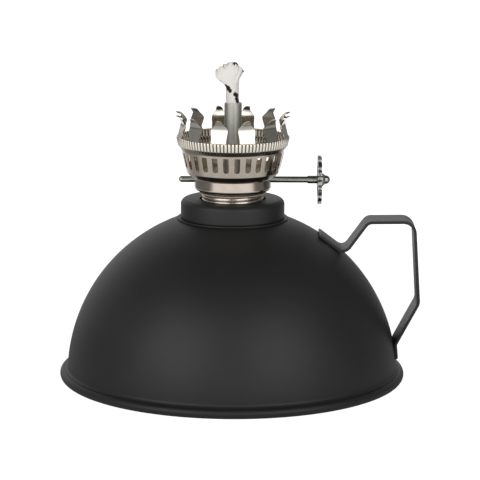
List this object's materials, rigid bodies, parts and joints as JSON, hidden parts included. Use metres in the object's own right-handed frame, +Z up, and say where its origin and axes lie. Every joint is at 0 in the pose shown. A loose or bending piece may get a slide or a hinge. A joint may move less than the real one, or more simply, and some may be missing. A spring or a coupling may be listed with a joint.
{
  "type": "kerosene lamp",
  "caption": "Small table kerosene lamp: a domed black font with a strap handle, and a screw-in nickel burner whose thumb wheel raises a round cotton wick inside a pronged chimney gallery.",
  "frame": {"origin": "middle of the base plate's flat underside, on the lamp's axis and on the table", "axes": "+Z up along the lamp's axis, +X towards the handle and the thumb wheel, -Y towards the picture's viewer"},
  "size_m": [0.1358, 0.1304, 0.12],
  "materials": {
    "black_coat": "matte black powder coat on sheet steel",
    "nickel": "warm nickel plate on thin brass sheet",
    "steel": "plain drawn steel",
    "brass": "turned brass",
    "rubber": "matte black rubber",
    "cotton": "twisted cotton, charred at the tuft"
  },
  "bodies": {
    "font": {"font_shell": "black_coat", "base_plate": "black_coat", "seat_ring": "black_coat", "collar": "black_coat", "collar_bush": "brass", "handle": "black_coat"},
    "gasket": {"burner_gasket": "rubber"},
    "burner": {"threaded_skirt": "nickel", "lower_cup": "nickel", "air_basket": "nickel", "gallery_ring": "nickel", "prong_crown": "nickel", "wick_tube": "steel", "tube_ferrule": "nickel", "shaft_bush_left": "nickel", "shaft_bush_right": "nickel"},
    "raiser": {"raiser_shaft": "steel", "star_wheel": "brass", "shaft_clips": "steel", "thumb_wheel": "steel", "wheel_hub": "steel", "wheel_sleeve": "steel"},
    "wick": {"wick": "cotton"}
  },
  "joints": [
    {"name": "burner_lift", "type": "slide", "parent": "font", "child": "gasket", "axis": [0, 0, 1], "range_m": [-0.00176, 0.00491]},
    {"name": "burner_turn", "type": "hinge", "parent": "gasket", "child": "burner", "pos_m": [0, 0, 0.0708], "axis": [0, 0, 1], "range_deg": [-450, 1260]},
    {"name": "wheel_turn", "type": "hinge", "parent": "burner", "child": "raiser", "pos_m": [0, 0.0055, 0.07459], "axis": [-1, 0, 0], "range_deg": [-114, 229]},
    {"name": "wick_slide", "type": "slide", "parent": "burner", "child": "wick", "axis": [0, 0, 1], "range_m": [-0.006, 0.012]}
  ],
  "couplings": [
    {"joint": "burner_lift", "follows": "burner_turn", "m_per_rad": 0.00022282},
    {"joint": "wick_slide", "follows": "wheel_turn", "m_per_rad": 0.003}
  ]
}
